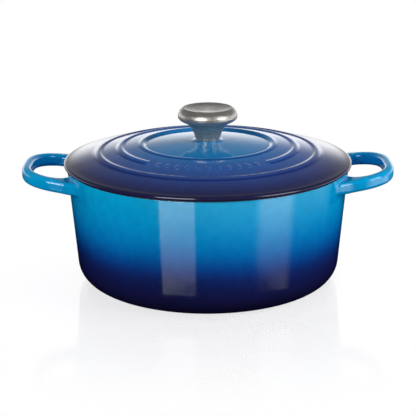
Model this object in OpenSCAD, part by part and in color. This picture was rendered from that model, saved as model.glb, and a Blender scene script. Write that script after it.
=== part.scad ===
// Round enamelled cast iron dutch oven with two loop handles and a domed lid.
// Origin: centre of the base, on the surface it stands on. +Z up, handles along X, front towards -Y.

/* [Pot] */
// Outer radius of the flat base, where the bottom corner starts
base_r = 103.5; // [90:0.5:115]
// Outer radius of the bottom corner
corner_r = 21.2; // [12:0.1:26]
// Lean of the wall from the vertical, in degrees
wall_taper = 5; // [2:0.1:8]
// Height of the rim, where the lid rests
rim_z = 111.8; // [95:0.1:125]
// Wall thickness, enamel included
wall_t = 4.2; // [3.4:0.1:6]
// Floor thickness above the foot ring, enamel included
floor_t = 5; // [4:0.1:8]
// Depth of the shallow recess under the base
recess_h = 0.8; // [0.5:0.1:1.5]
// Inner radius of the ground foot ring
foot_in_r = 84; // [60:1:95]

/* [Enamel] */
// Thickness of one enamel coat
coat = 0.4; // [0.3:0.05:0.6]

/* [Handles] */
// Distance from the axis to the outer edge of a handle
handle_tip_x = 174.5; // [165:0.5:185]
// Half width of a loop across its arms, outside
handle_half_w = 53; // [46:0.5:58]
// Squareness of the loop, 2 is an ellipse
handle_power = 3; // [2.2:0.1:4]
// Radial width of the band at the roots
root_w = 10.5; // [8:0.1:13]
// Radial width of the band at the tip
tip_w = 8.7; // [7:0.1:12]
// Height of the band at the roots
root_h = 11.2; // [10:0.1:15]
// Height of the band at the tip
tip_h = 12; // [10:0.1:15]
// Height of the band's middle at the roots
root_z = 100.8; // [90:0.1:104]
// Height of the band's middle at the tip
tip_z = 107; // [95:0.1:110]

/* [Lid] */
// Height of the dome's apex, if it ran to the axis
dome_z = 135.4; // [128:0.1:142]
// Radius of curvature of the dome
dome_r = 445; // [380:5:520]
// Largest radius of the lid
lid_r = 135.5; // [134:0.1:140]
// Height of the sunken disc around the knob, at the axis
disc_z = 133.5; // [132:0.1:134]
// Radius of the sunken disc
disc_r = 57.9; // [45:0.1:62]
// Inner radii of the raised rings
ring_in = [57.9, 79, 99.4];
// Width of a raised ring
ring_w = 7.4; // [5:0.1:9]
// Height of a raised ring
ring_h = 1.3; // [0.8:0.1:2]
// Half angle of the break in the middle ring, in degrees
ring_gap = 39.5; // [20:0.5:60]
// Underside height at the axis
under_z = 128.6; // [126:0.1:129]

/* [Knob] */
// Height of the enamelled boss under the knob
boss_z = 133.9; // [133.5:0.1:136]
// Radius of the boss where the knob stands on it
boss_r = 12.4; // [11.5:0.1:15]
// Largest radius of the knob
knob_r = 28; // [24:0.1:32]
// Height of the knob's upper edge
knob_top = 164.8; // [160:0.1:170]
// Radius of the screw's shank
screw_r = 2.95; // [2.5:0.05:3.5]

/* [Hidden] */
$fn = 96;

iron = [0.20, 0.20, 0.21];
wall_blue = [0.02, 0.42, 0.68];
handle_blue = [0.05, 0.55, 0.76];
lid_blue = [0.16, 0.25, 0.48];
sand = [0.90, 0.86, 0.76];
rim_black = [0.07, 0.07, 0.08];
steel = [0.62, 0.61, 0.60];

// Bottom corners: the centres of the outer and the inner arc.
inner_corner_r = corner_r - wall_t;
outer_c = [base_r, corner_r];
inner_c = [base_r + (floor_t - wall_t) * tan(wall_taper), inner_corner_r + floor_t];
coat_end = -80;                       // where the outer coat stops above the foot, degrees
band_z = rim_z - coat;                // underside of the matt band on the rim

// Handle pads: flat faces on the casting that the loops run out from.
pad_x = 127.5;
pad_root_x = 112;
path_x0 = 112;                        // where the loop's centre line starts, inside the wall
flare_w = 8;                          // growth of the band where it runs into its pad
flare_h = 3.6;
flare_len = 4.5;
edge_r = 2.2;                         // rounding of the band's edges
stations = 44;

// Lid rim: the lip is two quarter ellipses around one centre.
lip_w = 3.6;
lip_c = [lid_r - lip_w, rim_z + 2.4];
lip_up = dome_z - pow(lid_r - lip_w, 2) / (2 * dome_r) - lip_c[1] + 0.3;
lip_down = 3;
ridge_r = [123.8, 127.4];             // locating ridge that drops inside the pot
ridge_z = rim_z - 2.6;
lug_h = 2.2;                          // height of the lugs under the ridge
lug_arc = 7;                          // length of a lug, degrees
hole_r = 3.6;                         // clearance hole for the screw
under_edge = ridge_r[0] - 0.6;
under_drop = 13.2;                    // fall of the underside at under_ref from the axis
under_ref = 118;
under_power = 2.13;
boss_arc = 9;                         // radius of the flare at the boss's foot
boss_drop = 0.3;                      // fall of the disc from the axis to the boss's foot
band_k = 0.6;                         // share of the lip's width that the rim band reaches

shell_t = 1.6;                        // wall of the hollow knob
neck_bore = 9.4;
insert_top = 151;
washer_t = 1.2;
head_h = 3.6;
head_r = 5.6;
screw_top = 147;                      // upper end of the screw, inside the knob
slot_l = 6;
slot_w = 1.2;
slot_h = 1.8;
fit = 0.05;                           // radial clearance of the insert and of the screw in it

function arc(c, r, a0, a1, n) = [for (i = [0:n]) let (a = a0 + (a1 - a0) * i / n)
    [c[0] + r * cos(a), c[1] + r * sin(a)]];
function bez(p, t) = pow(1 - t, 3) * p[0] + 3 * t * pow(1 - t, 2) * p[1]
    + 3 * t * t * (1 - t) * p[2] + t * t * t * p[3];
function curve(p, n) = [for (i = [0:n]) bez(p, i / n)];
// Radius at height z of a wall that leaves an arc of radius r around c at the taper angle.
function wall_at(c, r, z) = c[0] + r * cos(wall_taper)
    + (z - c[1] + r * sin(wall_taper)) * tan(wall_taper);

// Pot outlines, from the base to the height top. The arcs run from below to the wall.
function outer_line(r, top, from) = concat(arc(outer_c, r, from, -wall_taper, 16),
    [[wall_at(outer_c, r, top), top]]);
function inner_line(r, top) = concat([[0, inner_c[1] - r]], arc(inner_c, r, -90, -wall_taper, 16),
    [[wall_at(inner_c, r, top), top]]);
function reversed(v) = [for (i = [len(v) - 1:-1:0]) v[i]];

// Lid surfaces.
function bead(r, r0) = r <= r0 || r >= r0 + ring_w ? 0 : ring_h * sin(180 * (r - r0) / ring_w);
function dome(r) = dome_z - r * r / (2 * dome_r);
function disc(r) = disc_z - r * r / (2 * dome_r);
// Inside the first ring the surface is the disc; across that ring it changes over to the dome.
function base_top(r) = r <= disc_r ? disc(r)
    : r >= disc_r + ring_w ? dome(r)
    : let (k = (r - disc_r) / ring_w) disc(r) * (1 - k) + dome(r) * k;
function boss_foot() = boss_r
    + sqrt(boss_arc * boss_arc - pow(boss_arc - boss_z + disc_z - boss_drop, 2));
function boss_line() = let (c = [boss_foot(), disc_z - boss_drop + boss_arc])
    arc(c, boss_arc, 180 + asin((c[1] - boss_z) / boss_arc), 270, 8);
function under(r) = under_z - under_drop * pow(r / under_ref, under_power);
// Upper outline of the lid, lowered by d, from the screw hole to the lip's lowest point at z = low,
// without the middle ring.
function top_line(d, low) = concat(
    [[hole_r, boss_z - d]],
    [for (p = boss_line()) [p[0], p[1] - d]],
    [for (r = [21:5.5:54]) [r, disc(r) - d]],
    [for (k = [0:8]) let (r = ring_in[0] + ring_w * k / 8) [r, base_top(r) + bead(r, ring_in[0]) - d]],
    [for (r = [70, 74.5]) [r, dome(r) - d]],
    [for (k = [0:8]) let (r = ring_in[1] + ring_w * k / 8) [r, dome(r) - d]],
    [for (r = [90.5, 95]) [r, dome(r) - d]],
    [for (k = [0:8]) let (r = ring_in[2] + ring_w * k / 8) [r, dome(r) + bead(r, ring_in[2]) - d]],
    [for (r = [111:5:126]) [r, dome(r) - d]],
    [for (a = [90:-15:0]) [lip_c[0] + (lip_w - d) * cos(a), lip_c[1] + (lip_up - d) * sin(a)]],
    let (end = asin((lip_c[1] - low) / (lip_down - d / 4)))
    [for (k = [1:4]) let (a = -end * k / 4)
        [lip_c[0] + (lip_w - d) * cos(a), lip_c[1] + (lip_down - d / 4) * sin(a)]]);
// Underside, raised by u, from the ridge to the screw hole.
function under_line(u) = concat([for (r = [under_edge:-9.2:10]) [r, under(r) + u]],
    [[10, under_z + u], [hole_r, under_z + u]]);

// Cross-section of a handle at station angle a: a rounded rectangle in its own plane.
function sgn_pow(v, p) = sign(v) * pow(abs(v), p);
tip_a = handle_tip_x - tip_w / 2 - path_x0;
half_b = handle_half_w - root_w / 2;
end_a = acos(pow((pad_x - path_x0) / tip_a, handle_power / 2));
function path(a) = [path_x0 + tip_a * sgn_pow(cos(a), 2 / handle_power),
                    half_b * sgn_pow(sin(a), 2 / handle_power)];
function outward(a) = abs(a) > end_a - 0.01 ? [0, sign(a)]
    : let (d = path(a + 0.5) - path(a - 0.5), n = [d[1], -d[0]]) n / norm(n);
function section(a) = let (
    p = path(a), n = outward(a),
    k = (p[0] - pad_x) / (path_x0 + tip_a - pad_x),
    grow = exp(-(p[0] - pad_x) / flare_len),
    w = root_w + (tip_w - root_w) * k + flare_w * grow,
    h = root_h + (tip_h - root_h) * k + flare_h * grow,
    zc = root_z + (tip_z - root_z) * k)
    [for (q = [0:3]) for (j = [0:3]) let (
        t = q * 90 + j * 30,
        u = (q == 0 || q == 3 ? 1 : -1) * (w / 2 - edge_r) + edge_r * cos(t),
        v = (q < 2 ? 1 : -1) * (h / 2 - edge_r) + edge_r * sin(t))
        [p[0] + u * n[0], p[1] + u * n[1], zc + v]];

module ring_of(line) { rotate_extrude($fn = 120) polygon(line); }

// One pad's outline, seen along X: the same rounded rectangle as a handle's root.
module pad_outline() {
    w = root_w + flare_w;
    h = root_h + flare_h;
    translate([-w / 2 + edge_r, -h / 2]) square([w - 2 * edge_r, h]);
    translate([-w / 2, -h / 2 + edge_r]) square([w, h - 2 * edge_r]);
    for (sx = [-1, 1]) for (sy = [-1, 1])
        translate([sx * (w / 2 - edge_r), sy * (h / 2 - edge_r)]) circle(edge_r, $fn = 32);
}

module pads() {
    for (mx = [0, 1]) for (my = [0, 1])
        mirror([mx, 0, 0]) mirror([0, my, 0])
            translate([pad_root_x, path(end_a)[1], root_z])
                rotate([90, 0, 90]) linear_extrude(pad_x - pad_root_x) pad_outline();
}

// The band swept along its path, with flat ends on the pads.
module loop() {
    rings = [for (i = [0:stations]) section(-end_a + 2 * end_a * i / stations)];
    m = len(rings[0]);
    points = [for (ring = rings) each ring];
    sides = [for (i = [0:stations - 1]) for (j = [0:m - 1])
        let (a = i * m + j, b = i * m + (j + 1) % m)
            each [[a, a + m, b], [b, a + m, b + m]]];
    first = [for (j = [0:m - 1]) j];
    last = [for (j = [m - 1:-1:0]) stations * m + j];
    polyhedron(points, concat([first], sides, [last]));
}

// Middle ring: a bead that stands on the dome over most of a turn, open towards the front.
module middle_ring() {
    r = ring_in[1];
    rotate([0, 0, -90 + ring_gap])
        rotate_extrude(angle = 360 - 2 * ring_gap, $fn = 120)
            polygon(concat([for (k = [0:8]) let (x = r + ring_w * k / 8) [x, dome(x) + bead(x, r)]],
                           [for (k = [7:-1:1]) let (x = r + ring_w * k / 8) [x, dome(x)]]));
}

module pot_casting() {
    color(iron)
    difference() {
        union() {
            ring_of(concat(
                [[0, recess_h], [foot_in_r, recess_h], [foot_in_r, 0]],
                arc(outer_c, corner_r, -90, coat_end, 3),
                outer_line(corner_r - coat, band_z, coat_end),
                [[0, band_z]]));
            pads();
        }
        ring_of(concat(inner_line(inner_corner_r + coat, band_z + 5), [[0, band_z + 5]]));
    }
}

module pot_exterior_enamel() {
    color(wall_blue)
    union() {
        difference() {
            ring_of(concat(outer_line(corner_r, band_z, coat_end),
                           reversed(outer_line(corner_r - coat, band_z, coat_end))));
            pads();
        }
        translate([0, 0, recess_h - coat]) cylinder(r = foot_in_r, h = coat);
    }
}

module pot_interior_enamel() {
    color(sand)
    ring_of(concat(inner_line(inner_corner_r, band_z),
                   reversed(inner_line(inner_corner_r + coat, band_z))));
}

module pot_rim_band() {
    color(rim_black)
    ring_of([[wall_at(inner_c, inner_corner_r, band_z), band_z],
             [wall_at(outer_c, corner_r, band_z), band_z],
             [wall_at(outer_c, corner_r, rim_z), rim_z],
             [wall_at(inner_c, inner_corner_r, rim_z), rim_z]]);
}

module handle_right() { color(handle_blue) loop(); }

module handle_left() { color(handle_blue) mirror([1, 0, 0]) loop(); }

module lid_casting() {
    color(iron)
    union() {
        ring_of(concat(
            top_line(coat, rim_z + coat),
            [[ridge_r[1], rim_z + coat], [ridge_r[1], ridge_z], [ridge_r[0], ridge_z]],
            under_line(coat)));
        for (k = [0:3])
            rotate([0, 0, 45 + 90 * k - lug_arc / 2])
                rotate_extrude(angle = lug_arc)
                    translate([ridge_r[0] + 0.4, ridge_z - lug_h])
                        square([ridge_r[1] - ridge_r[0] - 0.8, lug_h + 1]);
    }
}

module lid_exterior_enamel() {
    color(lid_blue)
    union() {
        ring_of(concat(top_line(0, rim_z + coat), reversed(top_line(coat, rim_z + coat))));
        middle_ring();
    }
}

module lid_interior_enamel() {
    color(sand)
    ring_of(concat(under_line(0), reversed(under_line(coat))));
}

module lid_rim_band() {
    color(rim_black)
    ring_of([[ridge_r[1], rim_z], [lip_c[0] + lip_w * band_k, rim_z],
             [lip_c[0] + lip_w * band_k, rim_z + coat], [ridge_r[1], rim_z + coat]]);
}

module knob_shell() {
    color(steel)
    difference() {
        ring_of(concat([[0, boss_z], [11.2, boss_z]],
            curve([[11.2, boss_z], [13.2, 142], [15.5, 148.2], [22, 151.2]], 12),
            curve([[22, 151.2], [26.5, 153.3], [knob_r, 155.6], [knob_r, 158.2]], 8),
            curve([[knob_r, 158.2], [knob_r, 162], [25.4, knob_top], [21.8, knob_top]], 8),
            curve([[21.8, knob_top], [19.6, knob_top], [18.4, 162.6], [0, 162.3]], 10)));
        translate([0, 0, boss_z - 1]) cylinder(r = neck_bore, h = insert_top - boss_z + 1);
        ring_of(concat([[0, insert_top], [neck_bore, insert_top]],
            curve([[neck_bore, insert_top], [18, 151.6], [26, 154], [knob_r - shell_t, 158.2]], 8),
            curve([[knob_r - shell_t, 158.2], [knob_r - shell_t, 161], [24, 162.6], [21.8, 162.6]], 6),
            [[18, 161], [0, 160.7]]));
    }
}

module knob_insert() {
    color(steel)
    difference() {
        translate([0, 0, boss_z]) cylinder(r = neck_bore - fit, h = insert_top - boss_z - fit);
        translate([0, 0, boss_z - 1]) cylinder(r = screw_r + fit, h = screw_top - boss_z + 2);
    }
}

module knob_washer() {
    color(steel)
    translate([0, 0, under_z - washer_t])
        difference() {
            cylinder(r = head_r + 1.4, h = washer_t);
            translate([0, 0, -1]) cylinder(r = screw_r + 0.3, h = washer_t + 2);
        }
}

module knob_screw() {
    color(steel)
    difference() {
        union() {
            translate([0, 0, under_z - washer_t - head_h]) cylinder(r = head_r, h = head_h);
            translate([0, 0, under_z - washer_t]) cylinder(r = screw_r, h = screw_top - under_z + washer_t);
        }
        for (turn = [0, 90])
            rotate([0, 0, turn])
                translate([-slot_l / 2, -slot_w / 2, under_z - washer_t - head_h - 1])
                    cube([slot_l, slot_w, 1 + slot_h]);
    }
}

pot_casting();
pot_exterior_enamel();
pot_interior_enamel();
pot_rim_band();
handle_left();
handle_right();
lid_casting();
lid_exterior_enamel();
lid_interior_enamel();
lid_rim_band();
knob_shell();
knob_insert();
knob_screw();
knob_washer();
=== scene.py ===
"""Looks of the enamelled cast iron dutch oven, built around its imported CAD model.

Lengths in this script are in millimetres in the shared frame, and become metres when a mesh is made.
"""

import math

import bmesh
import bpy
import numpy as np
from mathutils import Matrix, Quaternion, Vector


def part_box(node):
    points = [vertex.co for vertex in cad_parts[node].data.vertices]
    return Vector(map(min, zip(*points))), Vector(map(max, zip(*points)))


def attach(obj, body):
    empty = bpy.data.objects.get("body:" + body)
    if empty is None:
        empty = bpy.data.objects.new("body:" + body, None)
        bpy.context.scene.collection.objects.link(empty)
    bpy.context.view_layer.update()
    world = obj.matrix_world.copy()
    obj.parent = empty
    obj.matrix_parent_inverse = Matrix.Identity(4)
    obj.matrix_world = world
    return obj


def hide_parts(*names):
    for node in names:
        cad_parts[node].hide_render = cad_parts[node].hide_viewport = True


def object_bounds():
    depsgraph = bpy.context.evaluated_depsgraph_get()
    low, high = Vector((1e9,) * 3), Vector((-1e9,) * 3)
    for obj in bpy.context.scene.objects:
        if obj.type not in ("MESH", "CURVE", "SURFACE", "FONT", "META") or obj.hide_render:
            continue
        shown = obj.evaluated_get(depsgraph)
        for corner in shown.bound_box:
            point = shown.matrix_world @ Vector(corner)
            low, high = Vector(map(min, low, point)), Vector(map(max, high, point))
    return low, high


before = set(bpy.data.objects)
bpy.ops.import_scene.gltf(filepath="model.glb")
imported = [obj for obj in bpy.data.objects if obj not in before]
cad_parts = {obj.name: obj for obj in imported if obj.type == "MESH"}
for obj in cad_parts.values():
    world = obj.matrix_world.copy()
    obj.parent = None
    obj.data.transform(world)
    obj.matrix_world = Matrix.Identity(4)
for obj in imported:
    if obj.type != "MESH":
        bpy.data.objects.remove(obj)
cad_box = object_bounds()

MM = 0.001


def low(node):
    """Lowest corner of a CAD node, in millimetres."""
    return np.array(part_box(node)[0]) / MM


def high(node):
    """Highest corner of a CAD node, in millimetres."""
    return np.array(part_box(node)[1]) / MM


# ---------------------------------------------------------------- sizes
RIM_Z = high("pot_rim_band")[2]
HANDLE_TIP = high("handle_right")[0]
ROOT_FLARE = 2.8            # how far a CAD handle's roots flare past its half width
HANDLE_HALF = high("handle_right")[1] - ROOT_FLARE
LID_R = high("lid_exterior_enamel")[0]
KNOB_TOP = high("knob_shell")[2]
KNOB_R = high("knob_shell")[0]
BOSS_Z = low("knob_shell")[2]
LUG_DROP = 2.2              # how far the lid's lugs hang below its ridge
RIDGE_Z = low("lid_casting")[2] + LUG_DROP
UNDER_Z = high("knob_washer")[2]
SCREW_LOW = low("knob_screw")[2]

# Pot
TAPER = math.radians(5)
BASE_R = 103.5
CORNER_R = 21.2
WALL_T = 4.2
FLOOR_T = 5
COAT = 0.4
RECESS_H = 0.8
FOOT_IN = 84
OUTER_C = (BASE_R, CORNER_R)
INNER_R = CORNER_R - WALL_T
INNER_C = (BASE_R + (FLOOR_T - WALL_T) * math.tan(TAPER), INNER_R + FLOOR_T)
RIM_H = 0.9                 # height of the matt band along the rim
WALL_TOP = RIM_Z - RIM_H
FOOT_ANGLE = -80            # where the base's corner passes from bare iron to enamel

# Lid
DOME_Z, DISC_Z, DOME_R = 135.4, 133.5, 445.0
DISC_R, RING_W, RING_H = 57.9, 7.4, 1.3
RING_IN = (57.9, 79.0, 99.4)
RING_GAP = 39.5             # half angle of the break in the middle ring
LIP_W, LIP_DOWN = 3.6, 3.0
LIP_C = (LID_R - LIP_W, RIM_Z + 2.4)
RIDGE = (123.8, 127.4)
BOSS_R, BOSS_ARC, BOSS_DROP = 12.4, 9.0, 0.3
BAND_R = LIP_C[0] + 0.6 * LIP_W
LID_LOW = RIM_Z + COAT

# Handles. The centre line is a rounded loop that starts at PATH_X0 and is symmetric about the X axis.
HANDLES = ((1, "handle_right"), (-1, "handle_left"))
PATH_X0, ROOT_X = 112.0, 127.5
ROOT_W, TIP_W, ROOT_H, TIP_H = 10.9, 9.2, 11.9, 12.7
ROOT_Z, TIP_Z = 100.8, 107.0
EDGE_R = 4.0
POWER = 3                   # 2 would make the loop an ellipse, more makes it squarer
TIP_A = HANDLE_TIP - TIP_W / 2 - PATH_X0
HALF_B = HANDLE_HALF - ROOT_W / 2
OUTER_FILLET, INNER_FILLET, SKIN_BLEND = 17.0, 26.0, 2.0
DISC_INSET = 2.1            # the fillets run onto a wall that much inside the real one
LOOP_X = 148                # about the middle of the opening

# Mesh of the pot's skin
SEGMENTS = 320              # around the pot
HOLE_A, HOLE_B = 10, 30     # segments that a handle's arm takes from the wall
HOLE_LOW, HOLE_HIGH, HOLE_ROWS = 90.0, 109.6, 12
LOOPS = 12                  # loops of faces from the wall to the first free section
FREE_X, FREE_SECTIONS = 137, 92    # where a handle's free sections start, and how many there are
MOVED = (7, 42, 4)          # wall points that may move: azimuths in degrees, rows below the patches
BENT = (4, 46, 6)           # wall points with the blend's own normals, in the same way
PLUG_DEPTH = 2.6            # how far the hidden blocks reach behind the wall's face

# Floor of the studio: its own light, where it starts and ends to fade, and how clear it is at the pot
FLOOR_GLOW, FLOOR_NEAR, FLOOR_FAR, FLOOR_CLEAR = 0.68, 112.0, 330.0, 0.26


# ---------------------------------------------------------------- mesh helpers
def add_object(name, data):
    """A new object in the scene for a mesh, a light or a camera."""
    made = bpy.data.objects.new(name, data)
    bpy.context.scene.collection.objects.link(made)
    return made


def make_mesh(name, points, faces, smooth_angle=35):
    """A closed object from points in millimetres, shaded smooth below an edge angle."""
    mesh = bpy.data.meshes.new(name)
    mesh.from_pydata((np.asarray(points, float) * MM).tolist(), [], [list(map(int, f)) for f in faces])
    mesh.validate()
    mesh.update()
    mesh.shade_smooth()
    mesh.set_sharp_from_angle(angle=math.radians(smooth_angle))
    return add_object(name, mesh)


def arc(centre, radius, start, end, count):
    """Points on an arc in the (radius, height) plane, angles in degrees."""
    a = np.radians(np.linspace(start, end, count + 1))
    return [(centre[0] + radius * math.cos(t), centre[1] + radius * math.sin(t)) for t in a]


def bezier(p, count):
    """Points on the cubic curve of four control points."""
    t = np.linspace(0, 1, count + 1)[:, None]
    p = np.asarray(p, float)
    q = (1 - t) ** 3 * p[0] + 3 * t * (1 - t) ** 2 * p[1] + 3 * t * t * (1 - t) * p[2] + t ** 3 * p[3]
    return [tuple(v) for v in q]


def line(a, b, count):
    """Points from a to b, both ends left out."""
    return [(a[0] + (b[0] - a[0]) * k / count, a[1] + (b[1] - a[1]) * k / count) for k in range(1, count)]


def circle(r, z, angles):
    """Points round the Z axis."""
    return [(r * math.cos(t), r * math.sin(t), z) for t in angles]


def ring_quads(a, b, count):
    """Quads between two closed rows of vertices that start at a and b."""
    return [(a + j, a + (j + 1) % count, b + (j + 1) % count, b + j) for j in range(count)]


def ring_cap(row, pole, count):
    """Triangles between a closed row of vertices and a pole."""
    return [(row + j, row + (j + 1) % count, pole) for j in range(count)]


def revolve(outline, angles):
    """Vertices and faces of a closed outline turned about Z. Points on the axis become single poles."""
    points, rows = [], []
    for r, z in outline:
        rows.append(len(points))
        points += circle(r, z, angles) if r > 0 else [(0, 0, z)]
    n, m, faces = len(angles), len(outline), []
    for i in range(m):
        a, b = rows[i], rows[(i + 1) % m]
        on_axis = outline[i][0] == 0, outline[(i + 1) % m][0] == 0
        if on_axis == (True, False):
            faces += [f[::-1] for f in ring_cap(b, a, n)]
        elif on_axis == (False, True):
            faces += ring_cap(a, b, n)
        elif on_axis == (False, False):
            faces += ring_quads(a, b, n)
    return points, faces


def turn(count):
    """Equal angles round a full turn."""
    return [2 * math.pi * k / count for k in range(count)]


def turned(name, outline, count=192, smooth_angle=35):
    """A closed piece turned about Z. The outline runs anticlockwise in the (radius, height) plane."""
    points, faces = revolve(outline, turn(count))
    return make_mesh(name, points, faces, smooth_angle)


# ---------------------------------------------------------------- shape of the pot's outer skin
def wall_at(centre, radius, z):
    """Radius at height z of a wall that leaves an arc at the taper angle."""
    return (centre[0] + radius * math.cos(TAPER)
            + (z - centre[1] + radius * math.sin(TAPER)) * math.tan(TAPER))


def handle_path(a):
    """Centre line of a handle seen from above, for angles from the tip at 0 to the root at 90 degrees."""
    c, s = np.cos(a), np.sin(a)
    return np.stack([PATH_X0 + TIP_A * np.sign(c) * np.abs(c) ** (2 / POWER),
                     HALF_B * np.sign(s) * np.abs(s) ** (2 / POWER)], -1)


QUARTER = np.vstack([handle_path(np.linspace(0, math.pi / 2, 120)), [[80.0, HALF_B]]])


def blend(a, b, k):
    """Smooth minimum of two distances."""
    h = np.maximum(k - np.abs(a - b), 0) / k
    return np.minimum(a, b) - h ** 3 * k / 6


def fillet(a, b, radius):
    """Joined distance of two shapes with a round fillet between them."""
    both = radius - np.hypot(np.maximum(radius - a, 0), np.maximum(radius - b, 0))
    return np.where((a < radius) & (b < radius), both, np.minimum(a, b))


def band_distance(x, y):
    """Distance from the handle's centre line and the nearest point on it, for x and y of at least 0."""
    start, step = QUARTER[:-1], np.diff(QUARTER, axis=0)
    dx, dy = x[:, None] - start[:, 0], y[:, None] - start[:, 1]
    t = np.clip((dx * step[:, 0] + dy * step[:, 1]) / (step ** 2).sum(1), 0, 1)
    gap = np.hypot(dx - t * step[:, 0], dy - t * step[:, 1])
    best = gap.argmin(1)
    rows = np.arange(len(x))
    near = start[best] + step[best] * t[rows, best][:, None]
    return gap[rows, best], near


def band_size(x):
    """Width, height and middle height of the band where its centre line is at x."""
    k = np.clip((x - ROOT_X) / (PATH_X0 + TIP_A - ROOT_X), 0, 1)
    return ROOT_W + (TIP_W - ROOT_W) * k, ROOT_H + (TIP_H - ROOT_H) * k, ROOT_Z + (TIP_Z - ROOT_Z) * k


def plan_field(x, y, wall):
    """Distance from a handle's outline seen from above, with its fillets, and the path's nearest x."""
    gap, near = band_distance(x, y)
    band = gap - band_size(near[:, 0])[0] / 2
    return fillet(band, wall + DISC_INSET, np.where(y < near[:, 1], INNER_FILLET, OUTER_FILLET)), near[:, 0]


def skin_field(p):
    """Below 0 inside the wall or a handle, above 0 outside, and near the skin about a distance."""
    x, y, z = np.abs(p[:, 0]), np.abs(p[:, 1]), p[:, 2]
    wall = (np.hypot(x, y) - wall_at(OUTER_C, CORNER_R, z)) * math.cos(TAPER)
    plan, near_x = plan_field(x, y, wall)
    height, middle = band_size(near_x)[1:]
    side, cap = plan + EDGE_R, np.abs(z - middle) - height / 2 + EDGE_R
    outside = np.hypot(np.maximum(side, 0), np.maximum(cap, 0))
    handle = outside + np.minimum(np.maximum(side, cap), 0) - EDGE_R
    return blend(wall, handle, SKIN_BLEND)


def reach(p, way, z):
    """How far the handle's outline is from the point p of its path, looking along way."""
    step = np.linspace(0, 14, 281)
    x, y = np.abs(p[0] + step * way[0]), np.abs(p[1] + step * way[1])
    plan = plan_field(x, y, (np.hypot(x, y) - wall_at(OUTER_C, CORNER_R, z)) * math.cos(TAPER))[0]
    return step[np.argmax(plan > 0)]


def skin_normal(p):
    """Field values and unit gradients at the points p."""
    e = 0.02
    f = skin_field(p)
    g = np.stack([skin_field(p + d) - skin_field(p - d) for d in e * np.eye(3)], -1) / (2 * e)
    size = np.linalg.norm(g, axis=1)
    return f, g / size[:, None], size


def settle(p, rounds=4):
    """Moves points along the gradient onto the skin."""
    for _ in range(rounds):
        f, n, size = skin_normal(p)
        p = p - np.clip(f / size, -2, 2)[:, None] * n
    return p


def wall_vertex(i, row, sign, side):
    """Number of the wall's vertex in a row, i segments round from a handle's middle."""
    step = i * sign if side > 0 else SEGMENTS // 2 - i * sign
    return row * SEGMENTS + step % SEGMENTS


def patch_cells(row, sign, side):
    """Wall vertices of one arm's patch, as rows from the lowest one up."""
    return [[wall_vertex(i, row + j, sign, side) for i in range(HOLE_A, HOLE_B + 1)]
            for j in range(HOLE_ROWS + 1)]


def arm_loop(row, sign, side):
    """Wall vertices round one arm's patch, from the middle of its inner side, down and round."""
    a, b, h = HOLE_A, HOLE_B, HOLE_ROWS
    half = h // 2
    cells = ([(a, half - k) for k in range(half)] + [(a + k, 0) for k in range(b - a)]
             + [(b, k) for k in range(h)] + [(b - k, h) for k in range(b - a)]
             + [(a, h - k) for k in range(half)])
    return [wall_vertex(i, row + j, sign, side) for i, j in cells]


def in_patch(column):
    """Whether a column of wall faces lies where a handle's arm joins the wall."""
    off = (column + 0.5) % (SEGMENTS // 2)
    return HOLE_A < min(off, SEGMENTS // 2 - off) < HOLE_B


def section(a, count, side):
    """Points round the band's section at path angle a, from its inner side's middle, down and round."""
    p = handle_path(np.array([a]))[0]
    d = handle_path(np.array([a + 0.01]))[0] - handle_path(np.array([a - 0.01]))[0]
    out = np.array([d[1], -d[0]]) / np.linalg.norm(d)
    h, middle = band_size(p[0])[1:]
    outer, inner = reach(p, out, middle), reach(p, -out, middle)
    w, shift = outer + inner, (outer - inner) / 2
    flat_w, flat_h, curve = w - 2 * EDGE_R, h - 2 * EDGE_R, math.pi / 2 * EDGE_R
    # One quarter turn each: the flat's length, its start, its direction, and the next corner's centre.
    quarters = [(flat_h, (-w / 2, flat_h / 2), (0, -1), (-flat_w / 2, -flat_h / 2)),
                (flat_w, (-flat_w / 2, -h / 2), (1, 0), (flat_w / 2, -flat_h / 2)),
                (flat_h, (w / 2, -flat_h / 2), (0, 1), (flat_w / 2, flat_h / 2)),
                (flat_w, (flat_w / 2, h / 2), (-1, 0), (-flat_w / 2, flat_h / 2))]
    total = 2 * (flat_w + flat_h) + 4 * curve
    points = []
    for k in range(count):
        rest = (total * k / count + flat_h / 2) % total
        for quarter, (flat, begin, way, corner) in enumerate(quarters):
            if rest <= flat:
                u, v = begin[0] + way[0] * rest, begin[1] + way[1] * rest
                break
            rest -= flat
            if rest <= curve:
                t = math.radians(180 + 90 * quarter) + rest / EDGE_R
                u, v = corner[0] + EDGE_R * math.cos(t), corner[1] + EDGE_R * math.sin(t)
                break
            rest -= curve
        u += shift
        points.append((side * (p[0] + u * out[0]), p[1] + u * out[1], middle + v))
    return np.array(points)


def free_angles():
    """Path angles of the band's free sections, about evenly spaced from one arm's root to the other's."""
    a = np.linspace(-math.pi / 2, math.pi / 2, 2001)
    p = handle_path(a)
    away = p[:, 0] > FREE_X
    length = np.concatenate([[0], np.cumsum(np.linalg.norm(np.diff(p, axis=0), axis=1))])
    return np.interp(np.linspace(length[away][-1], length[away][0], FREE_SECTIONS), length, a)


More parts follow.
